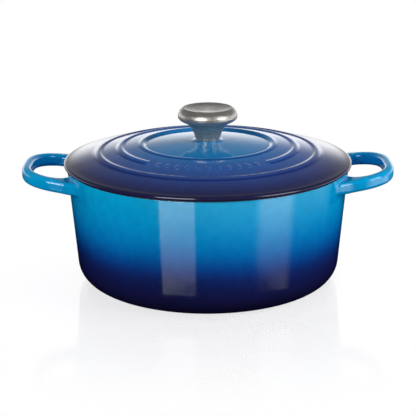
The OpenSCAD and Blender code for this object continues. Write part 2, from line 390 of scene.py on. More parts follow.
def add_handle(points, hole_row, side):
    """Adds a handle's vertices to points, and returns its quads from one arm's patch to the other's."""
    ends = [arm_loop(hole_row, sign, side) for sign in (1, -1)]
    count = len(ends[0])
    rings = [section(a, count, side) for a in free_angles()]
    starts = []

    def add_ring(ring):
        starts.append(len(points))
        points.extend(tuple(v) for v in ring)

    for loop, ring in zip(ends, (rings[0], rings[-1])):
        corners = np.array([points[i] for i in loop])
        for k in range(1, LOOPS):
            add_ring(corners * (1 - k / LOOPS) + ring * (k / LOOPS))
    for ring in rings:
        add_ring(ring)
    arm = LOOPS - 1
    order = starts[:arm] + starts[2 * arm:] + starts[arm:2 * arm][::-1]
    loops = [ends[0]] + [list(range(first, first + count)) for first in order] + [ends[1]]
    quads = []
    for a, b in zip(loops, loops[1:]):
        for k in range(count):
            m = (k + 1) % count
            quad = (a[k], b[k], b[m], a[m])
            quads.append(quad if side < 0 else quad[::-1])
    return quads


def build_skin():
    """The pot's outer skin with both handles: points, wall quads, and the quads of each handle."""
    rows = arc(OUTER_C, CORNER_R, FOOT_ANGLE, -5, 14)
    start = rows[-1][1]
    heights = list(start + (HOLE_LOW - start) * (1 - (1 - np.linspace(0, 1, 22)[1:]) ** 1.35))
    hole_row = len(rows) + len(heights) - 1
    heights += list(np.linspace(HOLE_LOW, HOLE_HIGH, HOLE_ROWS + 1)[1:])
    heights += [(HOLE_HIGH + WALL_TOP) / 2, WALL_TOP]
    rows += [(wall_at(OUTER_C, CORNER_R, z), z) for z in heights]
    points = [p for r, z in rows for p in circle(r, z, turn(SEGMENTS))]
    wall = []
    for j in range(len(rows) - 1):
        quads = ring_quads(j * SEGMENTS, (j + 1) * SEGMENTS, SEGMENTS)
        beside_patch = hole_row <= j < hole_row + HOLE_ROWS
        wall += [q for i, q in enumerate(quads) if not (beside_patch and in_patch(i))]
    handles = {name: add_handle(points, hole_row, side) for side, name in HANDLES}
    return np.array(points, float), wall, handles, rows, hole_row


def relax(points, quads, free, rounds):
    """Evens out the free points along the skin, and keeps them on it."""
    q = np.array(quads)
    pairs = np.unique(np.sort(np.vstack([q[:, [k, (k + 1) % 4]] for k in range(4)]), axis=1), axis=0)
    index = np.where(free)[0]
    for _ in range(rounds):
        total, count = np.zeros_like(points), np.zeros(len(points))
        for a, b in ((0, 1), (1, 0)):
            np.add.at(total, pairs[:, a], points[pairs[:, b]])
            np.add.at(count, pairs[:, a], 1)
        mean = total[index] / count[index][:, None]
        points[index] = settle(points[index] * 0.4 + mean * 0.6, 1)
    points[index] = settle(points[index], 4)
    return points


def plug(points, row, sign, side, start):
    """Vertices and faces of the hidden block behind one arm's patch, numbered from start."""
    cells = patch_cells(row, sign, side)
    block = points[np.array(cells)]
    target = wall_at(OUTER_C, CORNER_R, block[..., 2]) - PLUG_DEPTH
    block[..., :2] *= (target / np.hypot(block[..., 0], block[..., 1]))[..., None]
    h, w = block.shape[:2]
    own = (start + np.arange(h * w)).reshape(h, w).tolist()
    faces = [(own[j][i], own[j][i + 1], own[j + 1][i + 1], own[j + 1][i])
             for j in range(h - 1) for i in range(w - 1)]
    edge = ([(0, i) for i in range(w - 1)] + [(j, w - 1) for j in range(h - 1)]
            + [(h - 1, i) for i in range(w - 1, 0, -1)] + [(j, 0) for j in range(h - 1, 0, -1)])
    for (j, i), (l, k) in zip(edge, edge[1:] + edge[:1]):
        faces.append((cells[j][i], cells[l][k], own[l][k], own[j][i]))
    return block.reshape(-1, 3).tolist(), faces


def turned_cover(first, start, profile):
    """Vertices and faces of a profile turned from the skin's row at first to a pole on the axis."""
    points = [p for r, z in profile for p in circle(r, z, turn(SEGMENTS))]
    starts = [first] + [start + k * SEGMENTS for k in range(len(profile))]
    faces = [f for a, b in zip(starts, starts[1:]) for f in ring_quads(a, b, SEGMENTS)]
    faces += ring_cap(starts[-1], start + len(points), SEGMENTS)
    return points + [(0, 0, profile[-1][1])], faces


def close_up(name, outer, faces, extra_points, extra_faces, outer_normals):
    """One closed object from part of the skin and its hidden faces, with the skin's own normals."""
    faces = faces + extra_faces
    used = sorted({v for f in faces for v in f if v < len(outer)})
    number = {v: k for k, v in enumerate(used)}
    number.update({len(outer) + k: len(used) + k for k in range(len(extra_points))})
    points = np.vstack([outer[used], extra_points])
    mesh = bpy.data.meshes.new(name)
    mesh.from_pydata((points * MM).tolist(), [], [[number[v] for v in f] for f in faces])
    bm = bmesh.new()
    bm.from_mesh(mesh)
    bmesh.ops.recalc_face_normals(bm, faces=bm.faces)
    bm.to_mesh(mesh)
    bm.free()
    mesh.update()
    mesh.shade_smooth()
    normals = np.array([v.vector for v in mesh.vertex_normals])
    skin = outer_normals[used]
    known = np.linalg.norm(skin, axis=1) > 0.5
    normals[:len(used)][known] = skin[known]
    mesh.normals_split_custom_set_from_vertices(normals.tolist())
    return add_object(name, mesh)


def near_handles(azimuth, row_of, hole_row, limits):
    """Which wall points lie between two azimuths, and at most some rows below the arms' patches."""
    return (azimuth > limits[0]) & (azimuth < limits[1]) & (row_of > hole_row - limits[2])


def build_shell():
    """The pot's shell and both handles, blended into each other."""
    points, wall, handles, rows, hole_row = build_skin()
    n_wall = len(rows) * SEGMENTS
    azimuth = np.degrees(np.arctan2(np.abs(points[:n_wall, 1]), np.abs(points[:n_wall, 0])))
    row_of = np.arange(n_wall) // SEGMENTS
    free, bent = np.ones((2, len(points)), bool)
    free[:n_wall] = near_handles(azimuth, row_of, hole_row, MOVED) & (row_of < len(rows) - 2)
    for sign in (1, -1):
        for side, _ in HANDLES:
            free[np.array(patch_cells(hole_row, sign, side))[1:-1, 1:-1]] = False
    bent[:n_wall] = free[:n_wall] | near_handles(azimuth, row_of, hole_row, BENT)
    points[n_wall:] = settle(points[n_wall:], 6)
    quads = wall + [q for own in handles.values() for q in own]
    points = relax(points, quads, free, 24)
    normals = np.zeros_like(points)
    normals[bent] = skin_normal(points[bent])[1]

    extra, hidden, made = [], [], []
    for side, name in HANDLES:
        own_points, own_faces = [], []
        for sign in (1, -1):
            for more_points, more_faces in ((extra, hidden), (own_points, own_faces)):
                block, block_faces = plug(points, hole_row, sign, side, len(points) + len(more_points))
                more_points += block
                more_faces += block_faces
        made.append(close_up("enamel_" + name, points, handles[name], own_points, own_faces, normals))
    # The shell's hidden side: down the casting's inner face and across the floor, and under the base.
    inner_r = INNER_R + COAT
    inner = [(wall_at(INNER_C, inner_r, WALL_TOP), WALL_TOP)]
    inner += line(inner[0], (wall_at(INNER_C, inner_r, 30), 30), 14)
    inner += arc(INNER_C, inner_r, -5, -90, 12)
    inner += [(r, INNER_C[1] - inner_r) for r in (80, 50, 20)]
    base = [(rows[0][0] - 3, rows[0][1]), (FOOT_IN + COAT, rows[0][1])]
    base += [(r, RECESS_H) for r in (FOOT_IN, 60, 35, 12)]
    for first, profile in (((len(rows) - 1) * SEGMENTS, inner), (0, base)):
        cover, cover_faces = turned_cover(first, len(points) + len(extra), profile)
        extra += cover
        hidden += cover_faces
    return close_up("pot_shell", points, wall, extra, hidden, normals), *made


def build_lining():
    """The sand enamel inside the pot."""
    inner_r = INNER_R + COAT
    face, back = wall_at(INNER_C, INNER_R, WALL_TOP), wall_at(INNER_C, inner_r, WALL_TOP)
    outline = [(r, FLOOR_T) for r in (0, 20, 50, 80)] + arc(INNER_C, INNER_R, -90, -5, 16)
    outline += line(outline[-1], (face, WALL_TOP), 18) + [(face, WALL_TOP), (back, WALL_TOP)]
    outline += arc(INNER_C, inner_r, -5, -90, 16) + [(r, FLOOR_T - COAT) for r in (80, 20, 0)]
    return turned("pot_lining", outline, 256)


def build_rim():
    """The matt black coat on top of the rim, with soft edges."""
    r_in, r_out, soft = wall_at(INNER_C, INNER_R, WALL_TOP), wall_at(OUTER_C, CORNER_R, WALL_TOP), 0.75
    outline = [(r_in, WALL_TOP), (r_out, WALL_TOP)]
    outline += arc((r_out - soft + 0.06, RIM_Z - soft), soft, 0, 90, 6)
    outline += arc((r_in + soft + 0.02, RIM_Z - soft), soft, 90, 180, 6)
    return turned("pot_rim", outline, 256, 60)


def build_foot():
    """The ground iron ring that the pot stands on."""
    corner = arc(OUTER_C, CORNER_R, -90, FOOT_ANGLE, 4)
    outline = [(FOOT_IN + COAT, corner[-1][1]), (FOOT_IN + COAT, 0.2), (FOOT_IN + 0.7, 0), (95, 0)]
    return turned("pot_foot_ring", outline + corner, 192)


# ---------------------------------------------------------------- shape of the lid
def dome(r):
    """Height of the lid's dome at radius r."""
    return DOME_Z - r * r / (2 * DOME_R)


def disc(r):
    """Height of the sunken disc round the knob at radius r."""
    return DISC_Z - r * r / (2 * DOME_R)


def lid_base(r):
    """Height of the lid's top without its raised rings."""
    k = np.clip((r - DISC_R) / RING_W, 0, 1)
    return disc(r) * (1 - k) + dome(r) * k


def bead(distance):
    """Height of a raised ring at a distance from its middle line."""
    return np.where(np.abs(distance) < RING_W / 2, RING_H * np.cos(math.pi * distance / RING_W), 0)


def lid_top(r, angle):
    """Height of the lid's top at radius r, with the middle ring open towards the front."""
    z = lid_base(r)
    for k in (0, 2):
        z = z + bead(r - RING_IN[k] - RING_W / 2)
    middle = RING_IN[1] + RING_W / 2
    off = np.abs((np.degrees(angle) + 90 + 180) % 360 - 180)
    end = RING_GAP + math.degrees(RING_W / 2 / middle)
    past = np.radians(np.maximum(end - off, 0)) * middle
    return z + bead(np.hypot(r - middle, past))


def under(r):
    """Height of the lid's underside at radius r."""
    return UNDER_Z - 13.2 * (r / 118) ** 2.13


def lid_angles():
    """Angles round the lid, closer together where the middle ring ends."""
    coarse, fine = 1.25, 0.4
    steps = [*np.arange(0, 34, coarse), *np.arange(34, 44, fine), *np.arange(44, 180, coarse), 180]
    return np.radians(sorted([step - 90 for step in steps] + [-90 - step for step in steps[1:-1]]))


def build_lid_top():
    """The lid from outside: the knob's seat, the disc, the rings, the lip and the hidden underside."""
    angles = lid_angles()
    foot_z = DISC_Z - BOSS_DROP
    foot_r = BOSS_R + math.sqrt(BOSS_ARC ** 2 - (BOSS_ARC - BOSS_Z + foot_z) ** 2)
    centre = (foot_r, foot_z + BOSS_ARC)
    radii = list(np.arange(18, 57, 3))
    for inside, following in zip(RING_IN, RING_IN[1:] + (LIP_C[0],)):
        radii += list(np.linspace(inside, inside + RING_W, 13))
        radii += list(np.linspace(inside + RING_W, following, 8)[1:-1])
    lip_up = dome(LIP_C[0]) - LIP_C[1] + 0.3
    end = math.asin((LIP_C[1] - LID_LOW) / LIP_DOWN)
    outline = [(3.6, BOSS_Z), (8, BOSS_Z)]
    start = 180 + math.degrees(math.asin((centre[1] - BOSS_Z) / BOSS_ARC))
    outline += arc(centre, BOSS_ARC, start, 262, 10)
    top = range(len(outline), len(outline) + len(radii))
    outline += [(r, 0) for r in radii]
    upper, lower = np.radians(np.linspace(90, 0, 11)), np.linspace(0, -end, 6)[1:]
    for height, places in ((lip_up, upper), (LIP_DOWN, lower)):
        outline += [(LIP_C[0] + LIP_W * math.cos(a), LIP_C[1] + height * math.sin(a)) for a in places]
    outline += [(r, LID_LOW) for r in (130.5, RIDGE[1] - 1, RIDGE[0] + 1)]
    outline += [(r, under(r) + COAT) for r in np.arange(122.5, 12, -7.5)]
    outline += [(10, UNDER_Z + COAT), (3.6, UNDER_Z + COAT)]
    points, faces = revolve(outline, angles)
    points = np.array(points)
    n = len(angles)
    for row, r in zip(top, radii):
        points[row * n:(row + 1) * n, 2] = lid_top(np.full(n, r), angles)
    return make_mesh("lid_shell", points, [f[::-1] for f in faces], 40)


def build_lid_lining():
    """The sand enamel under the lid."""
    edge = RIDGE[0] - 0.6
    outline = [(3.6, UNDER_Z)] + [(r, under(r)) for r in np.arange(10, edge, 5)] + [(edge, under(edge))]
    outline += [(edge, under(edge) + COAT)] + [(r, under(r) + COAT) for r in np.arange(118, 10, -9)]
    return turned("lid_lining", outline + [(3.6, UNDER_Z + COAT)], 256)


def build_ridge():
    """The matt ridge that keeps the lid in place, with a lug every quarter turn."""
    soft, count = 1.1, 720
    angles = np.array(turn(count))
    off = np.abs((np.degrees(angles) - 45 + 45) % 90 - 45)
    share = np.clip((4.4 - off) / 1.6, 0, 1)
    drops = LUG_DROP * share ** 2 * (3 - 2 * share)
    outline = arc((RIDGE[0] + soft, 0), soft, 180, 270, 5) + arc((RIDGE[1] - soft, 0), soft, 270, 360, 5)
    root = LID_LOW + 0.6
    points = circle(RIDGE[0], root, angles)
    for r, z in outline:
        points += [(r * math.cos(t), r * math.sin(t), RIDGE_Z + soft + z - drop)
                   for t, drop in zip(angles, drops)]
    points += circle(RIDGE[1], root, angles)
    rows = len(outline) + 2
    faces = [f for i in range(rows) for f in ring_quads(i * count, (i + 1) % rows * count, count)]
    return make_mesh("lid_ridge", points, [f[::-1] for f in faces], 40)


def build_lid_band():
    """The matt black coat where the lid rests on the pot's rim."""
    inside = RIDGE[1]
    return turned("lid_rim", [(inside, RIM_Z), (BAND_R, RIM_Z), (BAND_R, LID_LOW), (inside, LID_LOW)], 256)


def build_pips():
    """A row of raised oval pips in the middle ring's break, one closed piece."""
    middle = RING_IN[1] + RING_W / 2
    spacing = 6.4           # degrees
    along, across, height, sunk = 2.5, 4.4, 0.9, 0.5
    count, rings = 28, 6
    points, faces = [], []
    for place in range(-5, 6):
        t = math.radians(-90 + spacing * place)
        outward, sideways = np.array([math.cos(t), math.sin(t)]), np.array([-math.sin(t), math.cos(t)])
        start = len(points)
        for k in range(rings):
            a = math.pi / 2 * k / rings
            for u in turn(count):
                x, y = (outward * (middle + across * math.cos(a) * math.cos(u))
                        + sideways * along * math.cos(a) * math.sin(u))
                points.append((x, y, dome(math.hypot(x, y)) + height * math.sin(a)))
        points.append((*(outward * middle), dome(middle) + height))
        bottom = len(points)
        points += [(x, y, z - sunk) for x, y, z in points[start:start + count]]
        for k in range(rings - 1):
            faces += ring_quads(start + k * count, start + (k + 1) * count, count)
        faces += ring_cap(start + (rings - 1) * count, bottom - 1, count)
        faces += ring_quads(bottom, start, count)
        faces.append([bottom + j for j in range(count - 1, -1, -1)])
    return make_mesh("lid_pips", points, faces, 60)


def build_knob():
    """The hollow steel knob, the insert in its neck and the washer under the lid."""
    ridge_r, dish = 22.6, 1.8
    outline = [(9.4, BOSS_Z), (10.8, BOSS_Z), (11.1, BOSS_Z + 0.25)]
    outline += bezier([(11.2, BOSS_Z + 0.5), (13.2, 142), (15.5, 148.2), (22, 151.2)], 18)
    outline += bezier([(22, 151.2), (26.5, 152.9), (KNOB_R, 154.8), (KNOB_R, 157.1)], 14)[1:]
    outline += bezier([(KNOB_R, 157.1), (KNOB_R, 159.3), (27.5, 162.2),
                       (ridge_r + 0.5, KNOB_TOP - 0.06)], 14)[1:]
    outline += [(ridge_r + 0.1, KNOB_TOP), (ridge_r - 0.3, KNOB_TOP - 0.06)]
    outline += [(r, KNOB_TOP - dish + dish * (r / ridge_r) ** 3) for r in np.arange(21.5, 1, -1.7)]
    outline += [(0, KNOB_TOP - dish), (0, 151), (9.4, 151)]
    knob = turned("knob_body", outline, 128, 40)
    insert = turned("knob_neck_insert", [(3, BOSS_Z + 0.1), (9.2, BOSS_Z + 0.1), (9.3, BOSS_Z + 0.3),
                                         (9.3, 150.8), (3, 150.8)], 64)
    washer = turned("knob_washer_ring", [(3.3, UNDER_Z - 1.2), (6.7, UNDER_Z - 1.2), (7, UNDER_Z - 0.9),
                                         (7, UNDER_Z - 0.02), (3.3, UNDER_Z - 0.02)], 64)
    return knob, insert, washer


def build_screw():
    """A cheese-head screw with a cross recess, seen from under the lid."""
    head_r, head_h, edge = 5.6, 3.6, 0.7
    z0 = SCREW_LOW
    arm, half, depth = 3.0, 0.6, 1.8
    # The cross has as many points as the head's rings, so that it joins them.
    count = 48
    cross = []
    for t in turn(count):
        quarter = round(t / (math.pi / 2))
        local = t - quarter * math.pi / 2
        if abs(local) <= math.atan2(half, arm):
            x, y = arm, arm * math.tan(local)
        elif abs(local) < math.pi / 4 - 1e-6:
            y = math.copysign(half, local)
            x = half / math.tan(abs(local))
        else:
            x, y = half, math.copysign(half, local)
        x, y = min(x, arm), max(-half, min(half, y))
        c, s = math.cos(quarter * math.pi / 2), math.sin(quarter * math.pi / 2)
        cross.append((x * c - y * s, x * s + y * c))
    rows = [[(x, y, z0 + depth) for x, y in cross], [(x, y, z0 + 0.05) for x, y in cross]]
    for r, z in ([(4.3, z0), (head_r - edge, z0)] + arc((head_r - edge, z0 + edge), edge, -60, 0, 4)
                 + [(head_r, z0 + head_h), (2.95, z0 + head_h), (2.95, 146.6), (2.6, 147)]):
        rows.append(circle(r, z, turn(count)))
    points, faces = [p for row in rows for p in row], []
    for i in range(len(rows) - 1):
        for k in range(count):
            m = (k + 1) % count
            faces.append((i * count + k, (i + 1) * count + k, (i + 1) * count + m, i * count + m))
    faces.append(list(range(count)))
    last = (len(rows) - 1) * count
    faces.append([last + k for k in range(count - 1, -1, -1)])
    return make_mesh("knob_fixing_screw", points, faces, 30)


# ---------------------------------------------------------------- materials
def colour(red, green, blue):
    """A linear colour from 0 to 255 display values."""
    def one(c):
        c /= 255
        return c / 12.92 if c <= 0.04045 else ((c + 0.055) / 1.055) ** 2.4
    return (one(red), one(green), one(blue), 1)


class Nodes:
    """Short ways to add shader nodes to a tree."""

    def __init__(self, tree):
        self.tree = tree

    def node(self, kind, inputs=(), **settings):
        """A new node. inputs gives a value or another node's output by socket name or number."""
        made = self.tree.nodes.new(kind)
        for key, value in settings.items():
            setattr(made, key, value)
        for key, value in dict(inputs).items():
            self.plug(made.inputs[key], value)
        return made

    def plug(self, socket, value):
        """Links an output to a socket, or sets the socket's own value."""
        if isinstance(value, bpy.types.NodeSocket):
            self.tree.links.new(value, socket)
        else:
            socket.default_value = value

    def math(self, operation, a, b=0.0, c=0.0):
        return self.node("ShaderNodeMath", {0: a, 1: b, 2: c}, operation=operation).outputs[0]

    def ramp(self, value, stops, mode="LINEAR"):
        """A colour that runs through the stops, each a position from 0 to 1 and a colour."""
        made = self.node("ShaderNodeValToRGB", {"Fac": value})
        elements = made.color_ramp.elements
        made.color_ramp.interpolation = mode
        for k, (at, tint) in enumerate(stops):
            element = elements[k] if k < 2 else elements.new(at)
            element.position = at
            element.color = tint
        return made.outputs["Color"]

    def span(self, value, low_in, high_in, low_out=0.0, high_out=1.0, mode="LINEAR"):
        """The value moved from one range to another and kept inside it."""
        return self.node("ShaderNodeMapRange", {"Value": value, "From Min": low_in, "From Max": high_in,
                                                "To Min": low_out, "To Max": high_out},
                         interpolation_type=mode).outputs[0]


class Paint(Nodes):
    """A node material around one Principled shader. Keywords set the shader's own sockets."""

    def __init__(self, name, **sockets):
        self.material = bpy.data.materials.new(name)
        self.material.use_nodes = True
        super().__init__(self.material.node_tree)
        self.shader = self.tree.nodes["Principled BSDF"]
        for key, value in sockets.items():
            self.shader.inputs[key.replace("_", " ")].default_value = value
        own = self.node("ShaderNodeTexCoord")
        self.place, self.facing = own.outputs["Object"], own.outputs["Normal"]

    def noise(self, scale, detail=2.0, roughness=0.5, place=None):
        made = self.node("ShaderNodeTexNoise", {"Vector": place or self.place, "Scale": scale,
                                                "Detail": detail, "Roughness": roughness})
        return made.outputs["Fac"]

    def axes(self):
        """The place's x, y and z in metres."""
        return self.node("ShaderNodeSeparateXYZ", {0: self.place}).outputs

    def vector(self, operation, *inputs):
        return self.node("ShaderNodeVectorMath", dict(enumerate(inputs)), operation=operation)

    def radius(self):
        """Distance from the object's axis in metres."""
        x, y, _ = self.axes()
        flat = self.node("ShaderNodeCombineXYZ", {0: x, 1: y})
        return self.vector("LENGTH", flat.outputs[0]).outputs["Value"]

    def mix(self, share, a, b, blend_type="MIX"):
        made = self.node("ShaderNodeMix", data_type="RGBA", blend_type=blend_type)
        for socket, value in ((0, share), (6, a), (7, b)):
            self.plug(made.inputs[socket], value)
        return made.outputs[2]

    def bump(self, height, strength, distance):
        made = self.node("ShaderNodeBump", {"Height": height, "Strength": strength, "Distance": distance})
        self.plug(self.shader.inputs["Normal"], made.outputs[0])

    def base(self, value):
        self.plug(self.shader.inputs["Base Color"], value)

    def rough(self, value):
        self.plug(self.shader.inputs["Roughness"], value)


def gloss_surface(paint, rough=0.07, wave=0.00003):
    """The soft unevenness and slight haze of fired enamel."""
    broad, fine = paint.noise(70.0, 1.0), paint.noise(420.0, 2.0)
    paint.bump(paint.math("MULTIPLY_ADD", fine, 0.18, broad), 1.0, wave)
    paint.rough(paint.span(paint.noise(160.0, 3.0), 0.3, 0.7, rough - 0.015, rough + 0.025))


def graded_enamel(name, value, stops, factor=None, sprayed=0.012):
    """Enamel sprayed from one tone into another. value(paint) runs from 0 to 1 over the stops."""
    paint = Paint(name, IOR=1.5, Specular_IOR_Level=0.5)
    position = value(paint)
    drift = paint.math("SUBTRACT", paint.noise(16.0, 2.0), 0.5)
    grain = paint.math("SUBTRACT", paint.noise(900.0, 2.0, 0.6), 0.5)
    position = paint.math("MULTIPLY_ADD", drift, 0.06, position)
    position = paint.math("MULTIPLY_ADD", grain, sprayed * 5, position)
    tone = paint.ramp(position, stops, "B_SPLINE")
    mottle = paint.span(paint.noise(130.0, 3.0), 0.3, 0.7, 0.94, 1.06)
    shade = paint.node("ShaderNodeCombineXYZ", {0: mottle, 1: mottle, 2: mottle}).outputs[0]
    tone = paint.mix(1.0, tone, shade, "MULTIPLY")
    # a factor can darken parts of the tone; the lid's factor is painted shade along the feet of its rings
    if factor:
        tone = paint.mix(1.0, tone, factor(paint), "MULTIPLY")
    paint.base(tone)
    gloss_surface(paint)
    return paint.material


def by_height(paint):
    """0 at the base, 1 at the pot's rim."""
    return paint.span(paint.axes()[2], 0.0, RIM_Z * MM)


def by_radius(paint):
    """0 on the axis, 1 at the lid's edge."""
    return paint.span(paint.radius(), 0.0, LID_R * MM)


POT_TONES = [(0.00, colour(18, 14, 40)), (0.16, colour(18, 18, 56)), (0.32, colour(18, 28, 84)),
             (0.43, colour(6, 58, 134)), (0.56, colour(1, 106, 177)), (0.72, colour(2, 138, 198)),
             (0.90, colour(3, 154, 206)), (1.00, colour(6, 161, 210))]
LID_TONES = [(0.00, colour(10, 128, 188)), (0.40, colour(14, 122, 184)), (0.52, colour(34, 98, 166)),
             (0.66, colour(42, 82, 152)), (0.80, colour(42, 62, 122)), (0.90, colour(36, 44, 94)),
             (1.00, colour(28, 24, 52))]


def in_loop(paint):
    """Colour factor of the handles: deeper blue on the faces that look into the loop's opening."""
    x, y, _ = paint.axes()
    middle = paint.math("MULTIPLY", paint.math("SIGN", x), LOOP_X * MM)
    aim = paint.node("ShaderNodeCombineXYZ", {0: paint.math("SUBTRACT", middle, x),
                                              1: paint.math("MULTIPLY", y, -1.0)}).outputs[0]
    way = paint.vector("NORMALIZE", aim).outputs[0]
    share = paint.span(paint.vector("DOT_PRODUCT", way, paint.facing).outputs["Value"], 0.25, 0.75)
    return paint.mix(share, (0.6, 0.86, 0.93, 1), (0.3, 0.58, 0.82, 1))


def painted_ring_shade(paint):
    """Colour factor of the lid: painted shade, a darker line along the outer foot of each raised ring."""
    x, y, _ = paint.axes()
    length = paint.radius()
    off = paint.math("ABSOLUTE", paint.math("ARCTAN2", x, paint.math("MULTIPLY", y, -1.0)))
    ringed = paint.span(off, math.radians(RING_GAP), math.radians(RING_GAP + 2))
    ring_foot_shade = 0.0
    for k, inside in enumerate(RING_IN):
        gap = paint.math("ABSOLUTE", paint.math("SUBTRACT", length, (inside + RING_W - 0.3) * MM))
        line_here = paint.span(gap, 0.0006, 0.0019, 1.0, 0.0)
        if k == 1:
            line_here = paint.math("MULTIPLY", line_here, ringed)
        ring_foot_shade = paint.math("MAXIMUM", line_here, ring_foot_shade)
    # painted shade: the lid's tone is darkened along each ring's outer foot
    return paint.mix(ring_foot_shade, (1, 1, 1, 1), (0.35, 0.42, 0.6, 1))


def sand_enamel():
    """Pale glossy lining enamel with fine specks."""
    paint = Paint("sand_enamel", IOR=1.5)
    cloud = paint.span(paint.noise(28.0, 3.0), 0.35, 0.65)
    warm = paint.mix(cloud, colour(238, 228, 206), colour(246, 238, 220))
    specks = paint.node("ShaderNodeTexVoronoi", {"Vector": paint.place, "Scale": 420.0, "Randomness": 1.0})
    mask = paint.span(specks.outputs["Distance"], 0.10, 0.16, 1.0, 0.0)
    some = paint.math("GREATER_THAN", paint.noise(300.0, 1.0), 0.56)
    paint.base(paint.mix(paint.math("MULTIPLY", mask, some), warm, colour(150, 122, 92)))
    gloss_surface(paint, rough=0.16)
    return paint.material


def matt_black():
    """Matt black enamel with a fine satin grain, on the rims."""
    paint = Paint("matt_black_enamel", IOR=1.45, Specular_IOR_Level=0.4)
    paint.base(paint.mix(paint.noise(500.0, 3.0), colour(26, 26, 28), colour(44, 43, 44)))
    paint.rough(paint.span(paint.noise(700.0, 2.0), 0.3, 0.7, 0.42, 0.58))
    paint.bump(paint.noise(1500.0, 3.0), 0.5, 0.00004)
    return paint.material


def ground_iron():
    """Bare ground cast iron with a rough grain, under the base."""
    paint = Paint("ground_iron", Metallic=0.7)
    paint.base(paint.mix(paint.noise(260.0, 4.0), colour(58, 55, 54), colour(98, 94, 92)))
    paint.rough(paint.span(paint.noise(600.0, 3.0), 0.3, 0.7, 0.45, 0.7))
    paint.bump(paint.noise(1400.0, 4.0), 0.6, 0.00006)
    return paint.material


def brushed_steel(name, tint, dark, rough):
    """Turned stainless steel: fine rings round the axis, slightly uneven."""
    paint = Paint(name, Metallic=0.72, Anisotropic=0.6)
    rings = paint.node("ShaderNodeCombineXYZ", {0: paint.radius(), 1: paint.axes()[2]}).outputs[0]
    lines = paint.noise(3200.0, 2.0, 0.7, rings)
    cloud = paint.noise(60.0, 2.0)
    tone = paint.math("MULTIPLY_ADD", cloud, 0.4, paint.math("MULTIPLY", lines, 0.6))
    paint.base(paint.mix(tone, dark, tint))
    paint.rough(paint.span(lines, 0.3, 0.7, rough - 0.06, rough + 0.08))
    paint.bump(lines, 0.35, 0.00003)
    tangent = paint.node("ShaderNodeTangent", direction_type="RADIAL", axis="Z")
    paint.plug(paint.shader.inputs["Tangent"], tangent.outputs[0])
    return paint.material


# ---------------------------------------------------------------- pieces on their bodies
pot_enamel = graded_enamel("pot_enamel", by_height, POT_TONES)
handle_enamel = graded_enamel("handle_enamel", by_height, POT_TONES, in_loop)
# the lid's enamel carries painted shade along the outer feet of its rings
lid_enamel = graded_enamel("lid_enamel", by_radius, LID_TONES, painted_ring_shade)
sand = sand_enamel()
black = matt_black()
iron = ground_iron()
steel = brushed_steel("knob_steel", colour(178, 175, 170), colour(146, 143, 138), 0.28)
zinc = brushed_steel("fastener_steel", colour(196, 194, 190), colour(160, 158, 154), 0.26)


def dress(piece, body, slot, material, *nodes):
    """Gives a piece its material, hangs it on its body's empty, and hides the CAD nodes that it takes the
    place of.
    """
    piece.data.materials.append(material)
    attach(piece, body)
    if nodes:
        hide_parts(*nodes)


shell, right, left = build_shell()
dress(shell, "pot", "wall_enamel", pot_enamel, "pot_exterior_enamel")
dress(right, "pot", "handle_enamel", handle_enamel, "handle_right")
dress(left, "pot", "handle_enamel", handle_enamel, "handle_left")
dress(build_lining(), "pot", "sand_enamel", sand, "pot_interior_enamel")
dress(build_rim(), "pot", "rim_enamel", black, "pot_rim_band")
dress(build_foot(), "pot", "bare_iron", iron, "pot_casting")

dress(build_lid_top(), "lid", "lid_enamel", lid_enamel, "lid_exterior_enamel")
dress(build_lid_lining(), "lid", "sand_enamel", sand, "lid_interior_enamel")
dress(build_ridge(), "lid", "rim_enamel", black, "lid_casting")
dress(build_lid_band(), "lid", "rim_enamel", black, "lid_rim_band")
dress(build_pips(), "lid", "lid_enamel", lid_enamel)
knob, insert, washer = build_knob()
dress(knob, "lid", "knob_steel", steel, "knob_shell")
dress(insert, "lid", "knob_steel", steel, "knob_insert")
dress(washer, "lid", "fastener_steel", zinc, "knob_washer")
dress(build_screw(), "lid", "fastener_steel", zinc, "knob_screw")


# ---------------------------------------------------------------- studio
def floor_paint():
    """Plain white floor with a faint gloss near the object, fading into the white all around."""
    paint = Paint("floor_white", IOR=1.45, Emission_Strength=FLOOR_GLOW)
    paint.shader.inputs["Emission Color"].default_value = (0.98, 0.98, 1, 1)
    paint.base(paint.mix(paint.noise(3.0, 1.0), (0.14, 0.14, 0.145, 1), (0.15, 0.15, 0.155, 1)))
    paint.rough(0.06)
    fade = paint.span(paint.radius(), FLOOR_NEAR * MM, FLOOR_FAR * MM, FLOOR_CLEAR, 1.0, "SMOOTHSTEP")
    behind = paint.node("ShaderNodeNewGeometry").outputs["Backfacing"]
    share = paint.math("MAXIMUM", fade, behind)
    clear = paint.node("ShaderNodeBsdfTransparent")
    both = paint.node("ShaderNodeMixShader", {0: share, 1: paint.shader.outputs[0], 2: clear.outputs[0]})
    paint.plug(paint.tree.nodes["Material Output"].inputs["Surface"], both.outputs[0])
    return paint.material


def build_floor():
    """A round floor of rings, seen only from above."""
    count = 96
    points, faces = revolve([(0, 0), (100, 0), (200, 0), (FLOOR_FAR, 0)], turn(count))
    floor = make_mesh("studio_floor", points, faces[:3 * count])
    if floor.data.polygons[0].normal.z < 0:
        floor.data.flip_normals()
    floor.data.materials.append(floor_paint())
    floor.visible_glossy = False
    floor.visible_diffuse = False
    floor.visible_shadow = False
    return floor


def build_light(name, azimuth, elevation, distance, width, height, power):
    """An area light aimed at the object, seen by neither the camera nor the reflections."""
    light = bpy.data.lights.new(name, "AREA")
    light.shape = "RECTANGLE"
    light.size, light.size_y = width, height
    light.energy = power
    lamp = add_object(name, light)
    a, e = math.radians(azimuth), math.radians(elevation)
    back = Vector((math.sin(a) * math.cos(e), -math.cos(a) * math.cos(e), math.sin(e)))
    lamp.location = back * distance + Vector((0, 0, 0.07))
    lamp.rotation_euler = back.to_track_quat("Z", "Y").to_euler()
    lamp.visible_camera = False
    lamp.visible_glossy = False
    return lamp


